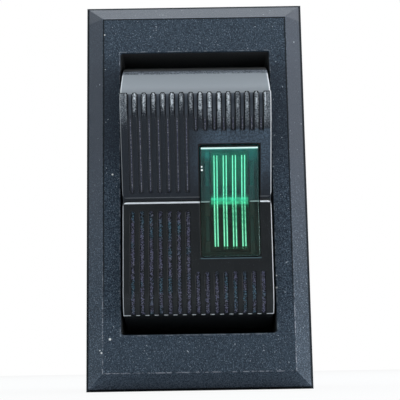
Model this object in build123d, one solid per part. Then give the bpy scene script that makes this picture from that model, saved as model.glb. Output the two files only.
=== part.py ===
from build123d import *
import math
import os

# A panel rocker switch that snaps into a cut-out. Lengths are millimetres, angles are degrees.
# X runs across the switch, Z up its length, and the bezel faces -Y. The origin lies in the middle of
# the bezel's rear face, the one that rests on the panel.

# Bezel
bezel_width = 25.0
bezel_height = 44.2
bezel_rim = 0.5
bezel_chamfer = 2.0
bezel_edge_radius = 0.15
opening_height = 32.0
opening_corner = 0.3

# Barrel behind the panel. What lies side by side in it keeps its share of the barrel's width.
barrel_width = 20.8
width_share = barrel_width / 20.8
opening_width = 17.0 * width_share
barrel_height = 36.6
barrel_depth = 24.0
barrel_corner = 1.0

# Snap tongues on the barrel's two ends
tongue_width = 9.0
tongue_catch = 2.6
tongue_root = 14.0
tongue_gap = 0.8
tongue_shield = 0.5
tongue_play = 0.6
wing_reach = 1.1
wing_flat = 1.0

# Rocker
rocker_width = 16.4 * width_share
pivot_depth = 4.6
rest_tilt = 10.5
face_angle = 12.0
valley_height = 8.5
band_angle = 60.0
band_foot_height = 6.0
skirt_radius = 15.6
skirt_depth = 1.0
crest_radius = 2.6
rocker_wall = 1.3
rocker_side_wall = 1.1
rocker_edge_radius = 0.2
trunnion_radius = 1.5
trunnion_length = 1.6
trunnion_lead = 0.3
trunnion_clearance = 0.05
stop_gap = 0.1
shelf_reach = 2.4
shelf_thickness = 1.3

# Raised pads and their grooves
pad_height = 0.38
pad_corner_radius = 0.5
pad_edge_radius = 0.15
valley_groove = 0.4
groove_count = 15
groove_pitch = 1.015 * width_share
groove_width = 0.52 * width_share
groove_start = 1.0
short_groove_start = 7.8
pad_end_angle = 43.0
lower_pad_end_angle = 54.0

# Window: lens, mask and light guide
window_x = 3.62 * width_share
lens_width = 6.4 * width_share
lens_reach = 6.2
lens_thickness = 0.8
lens_clearance = 0.11
lens_edge_radius = 0.1
lens_corner = 0.35
lens_ledge = 0.5 * width_share
leg_start = 1.6
leg_end = 4.4
leg_thickness = 0.4 * width_share
leg_length = 2.4
leg_barb = 0.2
mask_thickness = 0.5
line_groups = 4
line_group_width = 0.54 * width_share
line_groove = 0.12
line_groove_depth = 0.2
line_reach = 5.0
bar_height = 0.6
bar_overhang = 0.25 * width_share
guide_clearance = 0.05
guide_depth = 3.2
guide_reach = 5.2
guide_tab_thickness = 0.5
guide_tab_overlap = 0.6

# Contact mechanism
pole_x = -4.2 * width_share
plunger_reach = 11.88
plunger_radius = 1.8
plunger_neck_radius = 1.2
plunger_tip_radius = 1.0
plunger_length = 12.38
plunger_neck_length = 3.2
plunger_clearance = 0.06
spigot_radius = 0.8
spigot_length = 0.8
tube_radius = 3.0
tube_end = 6.5
spring_length = 4.4
spring_radius = 1.3
spring_wire = 0.35
spring_turns = 6
web_thickness = 0.9
web_floor = 2.0

arm_ratio = 0.7
arm_thickness = 0.8
arm_width = 5.4 * width_share
arm_waist = 4.2 * width_share
arm_reach = 12.2
dish_angle = 13.0
dish_reach = 3.4
dish_radius = 1.0
notch_half = 0.8
fulcrum_gap = 0.05
tip_gap = 0.17
contact_inset = 2.2
contact_reach = arm_reach - contact_inset
contact_radius = 1.6
contact_head = 0.6
contact_dome = 4.0
contact_gap = 0.02
shank_radius = 0.78
shank_clearance = 0.02

# Terminals and base
blade_width = 6.3 * width_share
blade_thickness = 0.8
blade_length = 8.0
blade_chamfer = 1.0
blade_hole = 0.8
blade_hole_inset = 3.2
throw_offset = 3.2
throw_z = contact_reach + throw_offset
pad_offset = 2.0
pad_inner_z = contact_reach - pad_offset
bend_radius = 0.6
slot_clearance = 0.1
bend_relief = 0.35
prong_width = 0.9
prong_height = 2.2
prong_clearance = 0.1
base_flange = 2.0
base_clearance = 0.1
barb_reach = 0.5
barb_length = 4.0
barb_height = 1.2
barb_z = 9.0
barb_inset = 1.4
window_clearance = 0.15
barrier_x = -0.2 * width_share
barrier_thickness = 0.8
barrier_height = 6.5
barrier_half = 12.0

# Lamp
lamp_radius = 2.4 * width_share
lamp_top = 3.0
pinch_width = 4.4 * width_share
pinch_thickness = 1.9
pinch_length = 5.0
holder_width = 5.9 * width_share
holder_half = 4.4
holder_height = 6.0
holder_wall_clearance = 0.1
lamp_blade_width = 4.8 * width_share
lamp_strip_width = 3.2 * width_share
lamp_strip_thickness = 0.5
lamp_blade_z = 9.0
lamp_strip_height = 4.2

# Places that follow from the sizes above
front_y = -(bezel_rim + bezel_chamfer)
face_rad = math.radians(face_angle)
band_rad = math.radians(band_angle)
tilt_rad = math.radians(rest_tilt)
arm_tilt = rest_tilt * arm_ratio
arm_rad = math.radians(arm_tilt)
fulcrum_y = pivot_depth + plunger_reach + tip_gap + arm_thickness
side_plane = Plane(origin=(0, 0, 0), x_dir=(0, 0, 1), z_dir=(1, 0, 0))


def prism(face, x_low, x_high):
    """A face drawn in the side view (up, outward), carried across from x_low to x_high."""
    moved = Pos(x_low, 0, 0) * face
    return extrude(moved, amount=x_high - x_low, dir=(1, 0, 0))


def side_face(points):
    """A closed outline in the side view: points are (up, outward)."""
    return side_plane * make_face(Polyline(*points, close=True))


def block(x_low, x_high, y_low, y_high, z_low, z_high):
    """A box between two limits on each axis."""
    size = (x_high - x_low, y_high - y_low, z_high - z_low)
    middle = ((x_low + x_high) / 2, (y_low + y_high) / 2, (z_low + z_high) / 2)
    return Pos(*middle) * Box(*size)


def rounded_tube(width, height, radius, y_low, y_high):
    """A block with rounded edges that run along Y."""
    plate = Plane.XZ * RectangleRounded(width, height, radius)
    return Pos(0, y_high, 0) * extrude(plate, amount=y_high - y_low)


def along_y(radius, length, x, y_low, z):
    """A round bar that runs along Y, starting at y_low."""
    return Pos(x, y_low + length / 2, z) * Rot(90, 0, 0) * Cylinder(radius, length)


def along_x(radius, length, x_middle, y, z):
    """A round bar that runs along X."""
    return Pos(x_middle, y, z) * Rot(0, 90, 0) * Cylinder(radius, length)


def at_rest(shape):
    """Tilt a piece built about the rocker's pivot to the rest position, then move it to the pivot."""
    return Pos(0, pivot_depth, 0) * Rot(rest_tilt, 0, 0) * shape


# Rocker geometry in the side view, about the pivot: up along the rocker, outward to the user


def face_point(along, depth, side=1):
    """A point on the V face: distance from the valley, and depth below the pad's top."""
    up = along * math.cos(face_rad) + depth * math.sin(face_rad)
    out = valley_height + along * math.sin(face_rad) - depth * math.cos(face_rad)
    return (side * up, out)


def crest(inset):
    """Start, centre and radius of the crest's arc for a skin inset below the body's surface."""
    foot_up = math.sqrt(skirt_radius**2 - band_foot_height**2)
    rise = math.tan(face_rad)
    fall = math.tan(band_rad)
    valley = valley_height - pad_height / math.cos(face_rad)
    up = (band_foot_height + foot_up * fall - valley) / (rise + fall)
    out = valley + up * rise
    back = crest_radius * math.tan((face_rad + band_rad) / 2)
    start = (up - back * math.cos(face_rad), out - back * math.sin(face_rad))
    centre = (
        start[0] + crest_radius * math.sin(face_rad),
        start[1] - crest_radius * math.cos(face_rad),
    )
    return centre, crest_radius - inset


def crest_point(inset, turn):
    """A point on the crest's arc, turned from the face towards the end band."""
    centre, radius = crest(inset)
    angle = math.radians(90 + face_angle - turn)
    return (centre[0] + radius * math.cos(angle), centre[1] + radius * math.sin(angle))


def band_foot(inset):
    """Where the end band meets the skirt, for a skin inset below the surface."""
    edge = crest_point(inset, face_angle + band_angle)
    radius = skirt_radius - inset
    down = (math.cos(band_rad), -math.sin(band_rad))
    middle = edge[0] * down[0] + edge[1] * down[1]
    rest = edge[0] ** 2 + edge[1] ** 2 - radius**2
    run = -middle + math.sqrt(middle**2 - rest)
    return (edge[0] + run * down[0], edge[1] + run * down[1])


def rocker_outline(inset, floor):
    """Side view of the rocker: V face, crests, end bands and the skirts down to a floor."""
    valley = (0, valley_height - (pad_height + inset) / math.cos(face_rad))
    turn = face_angle + band_angle
    foot = band_foot(inset)
    radius = skirt_radius - inset
    skirt_end = (math.sqrt(radius**2 - floor**2), floor)
    half_angle = (math.atan2(foot[1], foot[0]) + math.atan2(floor, skirt_end[0])) / 2
    skirt_middle = (radius * math.cos(half_angle), radius * math.sin(half_angle))
    half = [
        Line(valley, crest_point(inset, 0)),
        ThreePointArc(crest_point(inset, 0), crest_point(inset, turn / 2), crest_point(inset, turn)),
        Line(crest_point(inset, turn), foot),
        ThreePointArc(foot, skirt_middle, skirt_end),
    ]
    other = [mirror(edge, about=Plane.YZ) for edge in half]
    bottom = Line(skirt_end, (-skirt_end[0], skirt_end[1]))
    return side_plane * make_face([piece.edge() for piece in half + other + [bottom]])


def face_layer(near, far, reach):
    """Side view of a V-shaped plate between two depths below the pad's top, out to reach each way."""
    return side_face(
        [
            face_point(reach, near, -1),
            (0, valley_height - near / math.cos(face_rad)),
            face_point(reach, near),
            face_point(reach, far),
            (0, valley_height - far / math.cos(face_rad)),
            face_point(reach, far, -1),
        ]
    )


def groove_places():
    """Each groove's middle across the rocker, and where it starts from the valley."""
    middle = (groove_count - 1) / 2
    for index in range(groove_count):
        start = groove_start if index < middle else short_groove_start
        yield (index - middle) * groove_pitch, start


def pad_end_frame(turn):
    """Where the pad stops on the crest: the point, the way along the surface and the way out of it."""
    point = crest_point(0, turn)
    angle = math.radians(90 + face_angle - turn)
    out = (math.cos(angle), math.sin(angle))
    return point, (out[1], -out[0]), out


def across(point, along, out, run, rise):
    """A point that lies run along the surface and rise out of it."""
    return (
        point[0] + run * along[0] + rise * out[0],
        point[1] + run * along[1] + rise * out[1],
    )


def groove_cutter(x, start):
    """The slot that one groove takes out of the pad, from its rounded start over the crest."""
    tall = 2 * pad_height
    far = skirt_radius
    centre_start = start + groove_width / 2
    slot = side_face(
        [
            face_point(centre_start, -tall),
            face_point(far, -tall),
            (2 * far, 0),
            face_point(centre_start, 2 * pad_height),
        ]
    )
    body = prism(slot, x - groove_width / 2, x + groove_width / 2)
    up, out = face_point(centre_start, 0)
    end = Pos(x, -out, up) * Rot(90 + face_angle, 0, 0) * Cylinder(groove_width / 2, 4 * pad_height)
    return body + end


def rib_end_cutter(turn):
    """What comes off the pad's free end, so that each rib between two grooves has a round end."""
    rib = groove_pitch - groove_width
    point, along, out = pad_end_frame(turn)
    tall = 3 * pad_height
    strip = side_face(
        [
            across(point, along, out, -rib / 2, -tall),
            across(point, along, out, -rib / 2, tall),
            across(point, along, out, rib, tall),
            across(point, along, out, rib, -tall),
        ]
    )
    cutter = prism(strip, -rocker_width / 2, rocker_width / 2)
    tilt = math.degrees(math.atan2(out[0], out[1]))
    up, away = across(point, along, out, -rib / 2, 0)
    post = Pos(0, -away, up) * Rot(90 - tilt, 0, 0) * Cylinder(rib / 2, 2 * tall)
    outer = (groove_count - 1) / 2 * groove_pitch + groove_pitch / 2
    for index in range(groove_count + 1):
        cutter -= Pos(index * groove_pitch - outer, 0, 0) * post
    margin_strip = side_face(
        [
            across(point, along, out, -rib, -tall),
            across(point, along, out, -rib, tall),
            across(point, along, out, 0, tall),
            across(point, along, out, 0, -tall),
        ]
    )
    for side in (-1, 1):
        low, high = sorted((side * outer, side * rocker_width / 2))
        cutter -= prism(margin_strip, low, high)
    return cutter


def make_pad(low, turn):
    """A raised pad over the face from low upwards and round the crest as far as turn, rounded at its edges."""
    half_width = rocker_width / 2
    ring = rocker_outline(-pad_height, 0) - rocker_outline(0, 0)
    point, along, out = pad_end_frame(turn)
    high, near = 4 * pad_height, valley_groove / 2
    window = side_face(
        [
            (low, valley_height - high),
            (low, valley_height + high),
            across(point, along, out, 0, 3 * high),
            across(point, along, out, 0, -high),
        ]
    )
    pad = prism(ring & window, -half_width, half_width)
    corners = pad.edges().filter_by(lambda e: e.length < 2 * pad_height and abs(e.center().Z - low) < near)
    corners = corners.filter_by(lambda e: abs(abs(e.center().X) - half_width) < near / 10)
    pad = fillet(corners, pad_corner_radius)
    seam = crest_point(-pad_height, 0)[0]
    top = pad.edges().filter_by(lambda e: on_pad_top(e.center()))
    top = top.filter_by(lambda e: abs(e.center().Z - seam) > near or abs(e.center().X) > near)
    return fillet(top, pad_edge_radius)


def on_pad_top(point):
    """Whether a point of the pad lies on the top surface, over the face or the crest."""
    up, out = point.Z, -point.Y
    centre, radius = crest(-pad_height)
    line = valley_height + up * math.tan(face_rad)
    reach = math.hypot(up - centre[0], out - centre[1])
    start = crest_point(-pad_height, 0)[0]
    off = abs(out - line) * math.cos(face_rad) if up <= start else abs(reach - radius)
    return off < pad_height / 20


def rocker_shell():
    """The hollow moulding with its two grooved pads, before the window and the inner features."""
    half_width = rocker_width / 2
    body = prism(rocker_outline(0, -skirt_depth), -half_width, half_width)
    rims = body.edges().filter_by(lambda e: abs(abs(e.center().X) - half_width) < rocker_edge_radius / 10)
    rims = rims.filter_by(lambda e: -e.center().Y > skirt_depth)
    body = fillet(rims, rocker_edge_radius)
    inside = rocker_outline(rocker_wall, -skirt_depth)
    body -= prism(inside, -half_width + rocker_side_wall, half_width - rocker_side_wall)
    lower = mirror(grooved_pad(0, lower_pad_end_angle), about=Plane.XY)
    return body + grooved_pad(valley_groove, pad_end_angle) + lower


def grooved_pad(low, turn):
    """A raised pad with its grooves and its round rib ends."""
    pad = make_pad(low, turn)
    for x, start in groove_places():
        pad -= groove_cutter(x, start)
    return pad - rib_end_cutter(turn)


def window_prism(near, far, reach, half_width):
    """A V-shaped plate of the window between two depths, centred on the window."""
    return prism(face_layer(near, far, reach), window_x - half_width, window_x + half_width)


def rounded_window(near, far, reach, half_width, radius):
    """The window's V-shaped plate with its four corners rounded in the front view."""
    plate = window_prism(near, far, reach, half_width)
    ends = plate.edges().filter_by(Axis.X, reverse=True)
    return fillet(ends.filter_by(lambda e: abs(e.center().Z) > 0.75 * reach), radius)


def make_trunnion(side):
    """A pivot pin on the rocker's side, with a lead-in on its end."""
    start = rocker_width / 2 - rocker_side_wall / 2
    end = rocker_width / 2 + trunnion_length
    pin = along_x(trunnion_radius, end - start, side * (start + end) / 2, 0, 0)
    tip = pin.faces().sort_by(Axis.X)[-1 if side > 0 else 0]
    return chamfer(tip.edges(), trunnion_lead)


def skin_inside(up):
    """Height of the skin's inner surface over the pivot, at a distance along the rocker."""
    valley = valley_height - (pad_height + rocker_wall) / math.cos(face_rad)
    return valley + abs(up) * math.tan(face_rad)


def make_rocker():
    body = rocker_shell()
    pocket_depth = lens_thickness
    pocket_half = lens_width / 2 + lens_clearance
    pocket_corner = lens_corner + lens_clearance
    body -= rounded_window(-pad_height, pocket_depth, lens_reach + lens_clearance, pocket_half, pocket_corner)
    hole_half = lens_width / 2 - lens_ledge
    body -= window_prism(0, 3 * pocket_depth, lens_reach - lens_ledge, hole_half)
    web = side_face(
        [
            (-skirt_radius + 2 * rocker_wall, web_floor),
            (skirt_radius - 2 * rocker_wall, web_floor),
            (crest(0)[0][0], skin_inside(crest(0)[0][0]) - rocker_wall),
            (crest(0)[0][0], skin_inside(crest(0)[0][0]) + rocker_wall / 2),
            (0, skin_inside(0) + rocker_wall / 2),
            (-crest(0)[0][0], skin_inside(crest(0)[0][0]) + rocker_wall / 2),
            (-crest(0)[0][0], skin_inside(crest(0)[0][0]) - rocker_wall),
        ]
    )
    web &= rocker_outline(rocker_wall / 2, -skirt_depth)
    body += prism(web, pole_x - web_thickness / 2, pole_x + web_thickness / 2)
    tube_top = skin_inside(0) + rocker_wall / 2
    body += along_y(tube_radius, tube_top + tube_end, pole_x, -tube_top, 0)
    bore_top = plunger_top() + spring_length
    body -= along_y(plunger_radius + plunger_clearance, bore_top + tube_end, pole_x, -bore_top, 0)
    for side in (-1, 1):
        body += make_trunnion(side)
    return at_rest(body)


def leg_outer():
    """How far the outer face of the lens's legs stands from the window's middle."""
    return lens_width / 2 - lens_ledge - guide_clearance


def make_lens():
    """The window's V plate, flush with the pads, on four barbed legs that hook behind the skin."""
    half_width = lens_width / 2
    lens = rounded_window(0, lens_thickness, lens_reach, half_width, lens_corner)
    outer = lens.faces().sort_by(Axis.Y)[0:2]
    rim = [edge for face in outer for edge in face.edges() if abs(edge.center().Z) > lens_edge_radius]
    lens = fillet(rim, lens_edge_radius)
    hook = pad_height + rocker_wall + guide_clearance
    leg = leg_layer(lens_thickness / 2, leg_length)
    barb = leg_layer(hook, leg_length)
    outer = leg_outer()
    for side in (-1, 1):
        low, high = sorted((window_x + side * outer, window_x + side * (outer - leg_thickness)))
        legs = prism(leg, low, high)
        low, high = sorted((window_x + side * outer, window_x + side * (outer + leg_barb)))
        hooks = prism(barb, low, high)
        free = hooks.faces().sort_by(Axis.X)[-1 if side > 0 else 0]
        legs += chamfer(free.edges().sort_by(Axis.Y)[-1], leg_barb * 0.9)
        lens += legs
        lens += mirror(legs, about=Plane.XY)
    return at_rest(lens)


def leg_layer(near, far):
    """Side view of one of the lens's legs, between two depths."""
    return side_face(
        [
            face_point(leg_start, near),
            face_point(leg_end, near),
            face_point(leg_end, far),
            face_point(leg_start, far),
        ]
    )


def line_group_places():
    """The middle of each double line of the window, across the rocker."""
    for index in range(line_groups):
        yield window_x + (index - (line_groups - 1) / 2) * groove_pitch


def light_openings(near, far):
    """The open shapes of the mask: four slots along the switch, and the bar across the valley."""
    across_half = (line_groups - 1) / 2 * groove_pitch + line_group_width / 2 + bar_overhang
    shape = window_prism(near, far, bar_height / 2, across_half)
    slot = face_layer(near, far, line_reach)
    for x in line_group_places():
        shape += prism(slot, x - line_group_width / 2, x + line_group_width / 2)
    return shape


def inside_legs():
    """Half the width that the lens's legs leave for the mask and the guide."""
    return leg_outer() - leg_thickness - guide_clearance


def make_mask():
    """The black plate under the lens, with its slots for the light guide's blades."""
    reach = lens_reach - lens_ledge - guide_clearance
    mask = window_prism(lens_thickness, lens_thickness + mask_thickness, reach, inside_legs())
    return at_rest(mask - light_openings(0, 2 * lens_thickness + mask_thickness))


def make_guide():
    """The green light pipe: a block under the mask whose blades fill the mask's slots."""
    under = lens_thickness + mask_thickness
    skin = pad_height + rocker_wall
    block_face = side_face(
        [
            face_point(guide_reach, under, -1),
            (0, valley_height - under / math.cos(face_rad)),
            face_point(guide_reach, under),
            (guide_reach, valley_height - under - guide_depth),
            (-guide_reach, valley_height - under - guide_depth),
        ]
    )
    guide = prism(block_face, window_x - inside_legs(), window_x + inside_legs())
    tab_reach = lens_reach - lens_ledge + guide_tab_overlap
    guide += window_prism(skin, skin + guide_tab_thickness, tab_reach, inside_legs())
    blades = light_openings(lens_thickness, under)
    groove = face_layer(0, lens_thickness + line_groove_depth, line_reach + bar_height)
    bar = window_prism(0, under, bar_height / 2, inside_legs())
    for x in line_group_places():
        blades -= prism(groove, x - line_groove / 2, x + line_groove / 2) - bar
    return at_rest(guide + blades)


# Contact mechanism, in the rocker's frame or about the fulcrum


def plunger_top():
    """Height of the plunger's shoulder over the pivot, where the spring stands on it."""
    return plunger_length - plunger_reach


def make_plunger():
    """The spring-loaded plunger: body, neck and round tip, with a spigot that centres the spring."""
    top = plunger_top()
    body_length = plunger_length - plunger_neck_length
    body = along_y(plunger_radius, body_length, pole_x, -top, 0)
    neck_length = plunger_neck_length - plunger_tip_radius
    cone_end = plunger_reach - plunger_tip_radius
    neck = Pos(pole_x, cone_end - neck_length / 2, 0) * Rot(-90, 0, 0)
    body += neck * Cone(plunger_neck_radius, plunger_tip_radius, neck_length)
    body += Pos(pole_x, cone_end, 0) * Sphere(plunger_tip_radius)
    body += along_y(spigot_radius, spigot_length, pole_x, -top - spigot_length, 0)
    return at_rest(body)


def make_spring():
    """The plunger's coil spring, as it stands between the plunger and the blind end of its tube."""
    height = spring_length - 2 * spring_wire
    path = Helix(height / spring_turns, height, spring_radius)
    section = Plane(origin=path @ 0, z_dir=path % 0) * Circle(spring_wire / 2)
    coil = sweep(section, path=path, is_frenet=True)
    return at_rest(Pos(pole_x, -plunger_top() - spring_wire, 0) * Rot(90, 0, 0) * coil)


def at_fulcrum(shape):
    """Tilt a piece built about the arm's fulcrum to the rest position, then move it there."""
    return Pos(pole_x, fulcrum_y, 0) * Rot(-arm_tilt, 0, 0) * shape


def arm_line_height():
    """Height of the arm's middle line over the fulcrum, outside the dish."""
    return arm_thickness / 2 + dish_reach * math.tan(math.radians(dish_angle))


def make_arm():
    """The rocking contact arm: a strip with a dished middle and a notched waist."""
    low, high = arm_thickness / 2, arm_line_height()
    points = [(-arm_reach, high), (-dish_reach, high), (0, low), (dish_reach, high), (arm_reach, high)]
    path = FilletPolyline(*points, radius=dish_radius)
    strip = side_plane * trace(path, arm_thickness)
    arm = Pos(0, dish_drop(), 0) * prism(strip, -arm_width / 2, arm_width / 2)
    for side in (-1, 1):
        low_x, high_x = sorted((side * arm_waist / 2, side * arm_width))
        arm -= block(low_x, high_x, -3 * high, high, -notch_half, notch_half)
    shank = shank_radius + shank_clearance
    for end in (-1, 1):
        arm -= along_y(shank, 3 * high, 0, -2 * high, end * contact_reach)
    return at_fulcrum(arm)


def contact_face():
    """How far the moving contact's dome stands past the fulcrum, towards the base."""
    return contact_head - (arm_line_height() - arm_thickness / 2) + dish_drop()


def dish_drop():
    """How far the rounded dish pulls the arm's middle away from the fulcrum."""
    return dish_radius * (1 / math.cos(math.radians(dish_angle)) - 1)


def make_moving_contact(end):
    """A riveted contact with a domed head under one end of the arm."""
    reach = contact_face()
    dome = Pos(0, reach - contact_dome, end * contact_reach) * Sphere(contact_dome)
    head = along_y(contact_radius, contact_head, 0, reach - contact_head, end * contact_reach)
    shank_start = reach - contact_head - arm_thickness
    shank = along_y(shank_radius, arm_thickness, 0, shank_start, end * contact_reach)
    return at_fulcrum((head & dome) + shank)


def closed_contact():
    """Up the switch and inward of the fulcrum, where the dome's centre stands when it is closed."""
    centre = contact_face() - contact_dome
    up = contact_reach * math.cos(arm_rad) - centre * math.sin(arm_rad)
    inward = contact_reach * math.sin(arm_rad) + centre * math.cos(arm_rad)
    return up, inward


def fixed_face_y():
    """Where the fixed contact's face stands."""
    return fulcrum_y + closed_contact()[1] + contact_dome + contact_gap


def pad_face_y():
    """Where the throw terminal's pad starts, under the fixed contact's head."""
    return fixed_face_y() + contact_head


def floor_y():
    """The base's inner face, which the terminals' pads lie on."""
    return pad_face_y() + blade_thickness


def make_fixed_contact(end):
    """A riveted contact with a flat head, on the throw terminal's pad."""
    up = end * closed_contact()[0]
    head = along_y(contact_radius, contact_head, pole_x, fixed_face_y(), up)
    edge = head.faces().sort_by(Axis.Y)[0].edges()
    head = chamfer(edge, contact_head / 4)
    return head + along_y(shank_radius, blade_thickness, pole_x, pad_face_y(), up)


# Terminals and base


def blade_end_y():
    return barrel_depth + base_flange + blade_length


def finish_blade(strip, x, z, width):
    """Chamfer the free corners of a terminal's blade and pierce its hole."""
    end = blade_end_y()
    for side in (-1, 1):
        corner = Polyline(
            (x + side * width / 2, end),
            (x + side * (width / 2 - blade_chamfer), end),
            (x + side * width / 2, end - 2 * blade_chamfer),
            close=True,
        )
        wedge = Pos(0, 0, z - blade_thickness) * extrude(make_face(corner), 2 * blade_thickness)
        strip -= wedge
    hole = Pos(x, end - blade_hole_inset, z) * Cylinder(blade_hole, 3 * blade_thickness)
    return strip - hole


def make_throw_terminal(end):
    """A throw terminal: a pad under the fixed contact, bent down into the blade."""
    pad_middle = pad_face_y() + blade_thickness / 2
    path = FilletPolyline(
        (end * pad_inner_z, -pad_middle),
        (end * throw_z, -pad_middle),
        (end * throw_z, -blade_end_y()),
        radius=bend_radius,
    )
    strip = prism(side_plane * trace(path, blade_thickness), -blade_width / 2, blade_width / 2)
    strip = finish_blade(Pos(pole_x, 0, 0) * strip, pole_x, end * throw_z, blade_width)
    hole_radius = shank_radius + shank_clearance
    hole = along_y(hole_radius, 2 * blade_thickness, pole_x, pad_face_y(), end * closed_contact()[0])
    return strip - hole


def make_common_terminal():
    """The fork that the arm rocks on: a rounded saddle between two prongs, and the blade below."""
    saddle = fulcrum_y + fulcrum_gap
    half = blade_width / 2
    strip = block(
        pole_x - half,
        pole_x + half,
        saddle,
        blade_end_y(),
        -blade_thickness / 2,
        blade_thickness / 2,
    )
    rounding = strip.faces().sort_by(Axis.Y)[0].edges().filter_by(Axis.X)
    strip = fillet(rounding, blade_thickness / 4)
    inner = arm_waist / 2 + prong_clearance
    for side in (-1, 1):
        low_x, high_x = sorted((pole_x + side * inner, pole_x + side * (inner + prong_width)))
        prong = block(
            low_x,
            high_x,
            saddle - prong_height,
            saddle + blade_thickness,
            -blade_thickness / 2,
            blade_thickness / 2,
        )
        top = prong.faces().sort_by(Axis.Y)[0].edges().filter_by(Axis.Z)
        strip += chamfer(top, prong_width / 4)
    return finish_blade(strip, pole_x, 0, blade_width)


def make_lamp_terminal(end):
    """A lamp terminal: the blade, a strip along the base's floor and a leaf up beside the lamp."""
    thin = lamp_strip_thickness
    floor = floor_y() - thin / 2
    leaf_z = pinch_thickness / 2 + guide_clearance + thin / 2
    path = FilletPolyline(
        (end * leaf_z, -(floor_y() - lamp_strip_height)),
        (end * leaf_z, -floor),
        (end * lamp_blade_z, -floor),
        (end * lamp_blade_z, -blade_end_y()),
        radius=bend_radius,
    )
    strip = side_plane * trace(path, thin)
    leaf = prism(strip, -lamp_strip_width / 2, lamp_strip_width / 2)
    wide = prism(strip, -lamp_blade_width / 2, lamp_blade_width / 2)
    wide &= block(-barrel_width, barrel_width, floor_y() + bend_radius, 2 * barrel_depth, -barrel_height, barrel_height)
    return finish_blade(Pos(window_x, 0, 0) * (leaf + wide), window_x, end * lamp_blade_z, lamp_blade_width)


def make_bulb():
    """The wedge lamp: a round glass envelope pinched flat at its foot."""
    holder_top = floor_y() - holder_height
    glass_end = holder_top + lamp_radius / 2
    dome = Pos(window_x, lamp_top + lamp_radius, 0) * Sphere(lamp_radius)
    glass = along_y(lamp_radius, glass_end - lamp_top - lamp_radius, window_x, lamp_top + lamp_radius, 0)
    pinch = block(
        window_x - pinch_width / 2,
        window_x + pinch_width / 2,
        glass_end - lamp_radius / 4,
        glass_end + pinch_length - lamp_strip_thickness,
        -pinch_thickness / 2,
        pinch_thickness / 2,
    )
    return dome + glass + pinch


def make_holder():
    """The lamp holder: a block on the base with a well for the glass and a slot for the lamp's foot."""
    top = floor_y() - holder_height
    gap = holder_wall_clearance
    body = block(
        window_x - holder_width / 2,
        window_x + holder_width / 2,
        top,
        floor_y(),
        -holder_half,
        holder_half,
    )
    body = chamfer(body.faces().sort_by(Axis.Y)[0].edges(), 2 * gap)
    well = along_y(lamp_radius + gap, lamp_radius / 2 + 2 * gap, window_x, top - gap, 0)
    slot_half_x = pinch_width / 2 + gap
    slot_half_z = pinch_thickness / 2 + guide_clearance + lamp_strip_thickness + gap
    slot = block(window_x - slot_half_x, window_x + slot_half_x, top, 2 * floor_y(), -slot_half_z, slot_half_z)
    channel_half = lamp_strip_width / 2 + gap
    channel = block(
        window_x - channel_half,
        window_x + channel_half,
        floor_y() - lamp_strip_thickness - gap,
        2 * floor_y(),
        -2 * holder_half,
        2 * holder_half,
    )
    return body - well - slot - channel


def make_base():
    """The base that closes the barrel: flange, plug, terminal slots, snap barbs and inner barrier."""
    flange = rounded_tube(barrel_width, barrel_height, barrel_corner, barrel_depth, barrel_depth + base_flange)
    plug = rounded_tube(
        opening_width - 2 * base_clearance,
        opening_height - 2 * base_clearance,
        opening_corner,
        floor_y(),
        barrel_depth,
    )
    barrier = block(
        barrier_x - barrier_thickness / 2,
        barrier_x + barrier_thickness / 2,
        floor_y() - barrier_height,
        floor_y(),
        -barrier_half,
        barrier_half,
    )
    base = flange + plug + barrier
    gap = slot_clearance
    far = 2 * barrel_depth
    half = blade_width / 2 + gap
    thick = blade_thickness / 2 + gap
    base -= block(pole_x - half, pole_x + half, 0, far, -thick, thick)
    lamp_half = lamp_blade_width / 2 + gap
    lamp_thick = lamp_strip_thickness / 2 + gap
    for end in (-1, 1):
        edges = sorted((end * (throw_z + thick), end * (throw_z - thick - bend_relief)))
        base -= block(pole_x - half, pole_x + half, 0, far, *edges)
        edges = sorted((end * (lamp_blade_z + lamp_thick), end * (lamp_blade_z - lamp_thick - bend_relief)))
        base -= block(window_x - lamp_half, window_x + lamp_half, 0, far, *edges)
    for side in (-1, 1):
        for end in (-1, 1):
            base += make_barb(side, end)
    return base


def barb_start_y():
    """The barb's catch face, towards the base's flange."""
    return barrel_depth - barb_inset


def make_barb(side, end):
    """A wedge on the plug's side that snaps into the barrel's window."""
    wall = opening_width / 2 - base_clearance
    start = barb_start_y()
    outline = Polyline(
        (side * (wall - barb_reach), start),
        (side * (wall + barb_reach), start),
        (side * (wall + barb_reach), start - barb_height / 3),
        (side * wall, start - barb_height),
        (side * (wall - barb_reach), start - barb_height),
        close=True,
    )
    wedge = extrude(make_face(outline), barb_length / 2, both=True)
    return Pos(0, 0, end * barb_z) * wedge


# Housing


def skirt_end_corner():
    """Up and inward, where the skirt's end stands at rest on the pressed side."""
    up = math.sqrt(skirt_radius**2 - skirt_depth**2)
    inward = skirt_depth * math.cos(tilt_rad) + up * math.sin(tilt_rad)
    return up, inward


def make_wing(end):
    """A snap wing on its tongue: the catch faces the panel, and the ramp runs back to the wall."""
    wall = barrel_height / 2
    outline = side_face(
        [
            (end * (wall - wing_reach), -tongue_catch),
            (end * (wall + wing_reach), -tongue_catch),
            (end * (wall + wing_reach), -tongue_catch - wing_flat),
            (end * wall, -tongue_root + tongue_gap),
            (end * (wall - wing_reach), -tongue_root + tongue_gap),
        ]
    )
    return prism(outline, -tongue_width / 2, tongue_width / 2)


def make_shelf(end):
    """The ledge across the barrel that the rocker's skirt comes to rest on."""
    wall = (barrel_height - opening_height) / 4
    face = pivot_depth + skirt_end_corner()[1] + stop_gap
    inner, outer = end * (opening_height / 2 - shelf_reach), end * (opening_height / 2 + wall)
    half = opening_width / 2 + wall
    return block(-half, half, face, face + shelf_thickness, *sorted((inner, outer)))


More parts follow.
